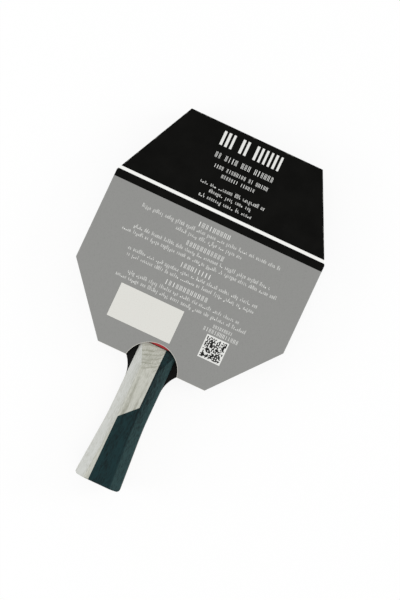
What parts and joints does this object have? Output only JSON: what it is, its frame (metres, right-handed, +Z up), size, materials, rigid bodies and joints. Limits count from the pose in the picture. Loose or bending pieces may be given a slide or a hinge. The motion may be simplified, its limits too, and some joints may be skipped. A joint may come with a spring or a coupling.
{
  "type": "table tennis paddle",
  "caption": "Flared-handle table tennis bat with rubber on both faces, packed in an octagonal card sleeve that slides off its blade.",
  "frame": {"origin": "on the ground plane under the middle of the overall length, on the bat's long axis; the handle's underside is at height 0", "axes": "+Y along the bat from the butt of the handle to the tip of the blade, +X across the blade, +Z up out of the red rubber and the printed back card"},
  "size_m": [0.1578, 0.2612, 0.0228],
  "materials": {
    "core_wood": "bare pale hardwood veneer, matt",
    "stained_wood": "outer veneer stained black, matt lacquer",
    "pale_wood": "grey-green pale stained wood, matt lacquer",
    "teal_wood": "dark teal stained wood, satin lacquer",
    "red_rubber": "smooth red topsheet, low sheen",
    "black_rubber": "smooth black topsheet, low sheen",
    "sponge": "fine-celled amber sponge",
    "edge_tape": "plain black woven edge tape",
    "printed_card": "printed folding boxboard, satin varnish outside, bare board inside",
    "label_paper": "blank self-adhesive paper label"
  },
  "bodies": {
    "bat": {"core_ply": "core_wood", "red_side_inner_ply": "core_wood", "black_side_inner_ply": "core_wood", "red_side_outer_ply": "stained_wood", "black_side_outer_ply": "stained_wood", "red_sponge": "sponge", "black_sponge": "sponge", "red_topsheet": "red_rubber", "black_topsheet": "black_rubber", "edge_tape": "edge_tape", "red_side_pale_scale": "pale_wood", "red_side_teal_scale": "teal_wood", "black_side_pale_scale": "pale_wood", "black_side_teal_scale": "teal_wood"},
    "sleeve": {"sleeve_back_card": "printed_card", "sleeve_front_card": "printed_card", "blank_label": "label_paper"}
  },
  "joints": [
    {"name": "sleeve_slide", "type": "slide", "parent": "bat", "child": "sleeve", "axis": [0, 1, 0], "range_m": [0, 0.175]}
  ]
}
